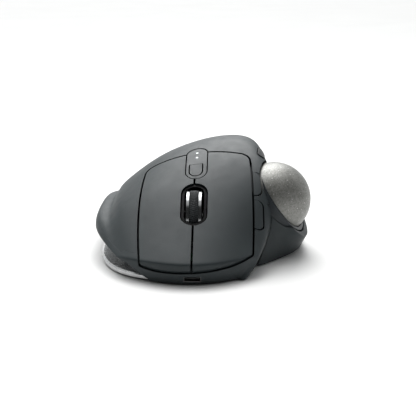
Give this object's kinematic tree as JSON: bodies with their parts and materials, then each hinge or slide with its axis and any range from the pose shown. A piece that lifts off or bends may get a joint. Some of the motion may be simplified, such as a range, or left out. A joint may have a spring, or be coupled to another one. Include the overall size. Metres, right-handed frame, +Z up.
{
  "type": "trackball mouse",
  "caption": "Right-handed desk mouse with a thumb-operated ball, split main buttons, scroll wheel, small side buttons and a tilting steel base plate.",
  "frame": {"origin": "centre of the base pad's underside, on the desk", "axes": "-Y front, where the button tips and the charging inlet are; +Y rear under the palm; +X thumb side with the ball; +Z up from the desk"},
  "size_m": [0.1003, 0.1325, 0.05],
  "materials": {
    "pad": "matt rubber",
    "plate": "polished rim",
    "shell": "soft-touch slate grey",
    "cup": "satin slate grey",
    "bead": "polished ceramic",
    "lens": "clear dark red",
    "black": "satin",
    "ball": "pearly mottled grey",
    "steel": "plated",
    "pill": "satin dark grey",
    "light": "milky white",
    "black_button": "satin black",
    "tread": "ribbed rubber",
    "chrome": "bright",
    "gloss": "glossy black",
    "board": "green solder mask",
    "cell": "foil pouch",
    "lead": "insulated leads"
  },
  "bodies": {
    "base": {"base_plate": "plate", "base_pad": "pad"},
    "mouse": {"bottom_case": "shell", "top_cover": "shell", "ball_housing": "shell", "ball_cup": "cup", "bearing_beads": "bead", "sensor_lens": "lens", "ball_sensor": "black", "button_pin": "steel", "switch_plate": "pill", "host_lights": "light", "battery_light": "black", "precision_light": "light", "wheel_encoder": "black", "wheel_bezel": "gloss", "main_board": "board", "board_chips": "black", "click_switches": "black", "battery": "cell", "battery_leads": "lead", "usb_port": "steel", "usb_tongue": "black", "case_screws": "steel", "board_screws": "steel", "magnets": "steel"},
    "left_click": {"left_button": "shell"},
    "right_click": {"right_button": "shell"},
    "back_tab": {"back_button": "shell"},
    "forward_tab": {"forward_button": "shell"},
    "host_key": {"host_button": "pill"},
    "precision_key": {"precision_button": "black_button"},
    "power_knob": {"power_slider": "black_button"},
    "pairing_key": {"pairing_button": "black_button"},
    "carriage": {"wheel_carriage": "black"},
    "cradle": {"wheel_cradle": "black"},
    "wheel": {"wheel_tyre": "tread", "wheel_rims": "chrome", "wheel_hub": "black", "wheel_axle": "steel"},
    "ball_inside": {"ball_core": "ball"},
    "ball": {"ball_shell": "ball"}
  },
  "joints": [
    {"name": "base_tilt", "type": "hinge", "parent": "base", "child": "mouse", "pos_m": [-0.021, 0, 0.0031], "axis": [0, -1, 0], "range_deg": [0, 20]},
    {"name": "left_press", "type": "hinge", "parent": "mouse", "child": "left_click", "pos_m": [0, -0.015, 0.031], "axis": [1, 0, 0], "range_deg": [0, 0.75], "stiffness_Nm_per_rad": 2, "springref_deg": -0.34},
    {"name": "right_press", "type": "hinge", "parent": "mouse", "child": "right_click", "pos_m": [0, -0.015, 0.031], "axis": [1, 0, 0], "range_deg": [0, 0.75], "stiffness_Nm_per_rad": 2, "springref_deg": -0.34},
    {"name": "back_press", "type": "slide", "parent": "mouse", "child": "back_tab", "axis": [0, 0.7071, -0.7071], "range_m": [0, 0.0004], "stiffness_N_per_m": 800, "springref_m": -0.0003},
    {"name": "forward_press", "type": "slide", "parent": "mouse", "child": "forward_tab", "axis": [0, 0.7071, -0.7071], "range_m": [0, 0.0004], "stiffness_N_per_m": 800, "springref_m": -0.0003},
    {"name": "host_press", "type": "slide", "parent": "mouse", "child": "host_key", "axis": [0, 0.7071, -0.7071], "range_m": [0, 0.0004], "stiffness_N_per_m": 800, "springref_m": -0.0003},
    {"name": "precision_press", "type": "slide", "parent": "mouse", "child": "precision_key", "axis": [-0.7409, 0.1201, -0.6608], "range_m": [0, 0.0005], "stiffness_N_per_m": 800, "springref_m": -0.0003},
    {"name": "power_slide", "type": "slide", "parent": "mouse", "child": "power_knob", "axis": [1, 0, 0], "range_m": [0, 0.003]},
    {"name": "pairing_press", "type": "slide", "parent": "mouse", "child": "pairing_key", "axis": [0, 0, 1], "range_m": [0, 0.0004], "stiffness_N_per_m": 500, "springref_m": -0.0003},
    {"name": "wheel_press", "type": "slide", "parent": "mouse", "child": "carriage", "axis": [0, 0, -1], "range_m": [0, 0.00045], "stiffness_N_per_m": 1500, "springref_m": -0.0004},
    {"name": "wheel_tilt", "type": "hinge", "parent": "carriage", "child": "cradle", "pos_m": [-0.0033, -0.03414, 0.00909], "axis": [0, 1, 0], "range_deg": [-1.5, 1.5], "stiffness_Nm_per_rad": 1.2},
    {"name": "wheel_spin", "type": "hinge", "parent": "cradle", "child": "wheel", "pos_m": [-0.0033, -0.03414, 0.02229], "axis": [1, 0, 0], "continuous": true},
    {"name": "ball_roll", "type": "hinge", "parent": "mouse", "child": "ball_inside", "pos_m": [0.0329, -0.014, 0.0253], "axis": [1, 0, 0], "continuous": true},
    {"name": "ball_sway", "type": "hinge", "parent": "ball_inside", "child": "ball", "pos_m": [0.0329, -0.014, 0.0253], "axis": [0, 1, 0], "continuous": true}
  ]
}
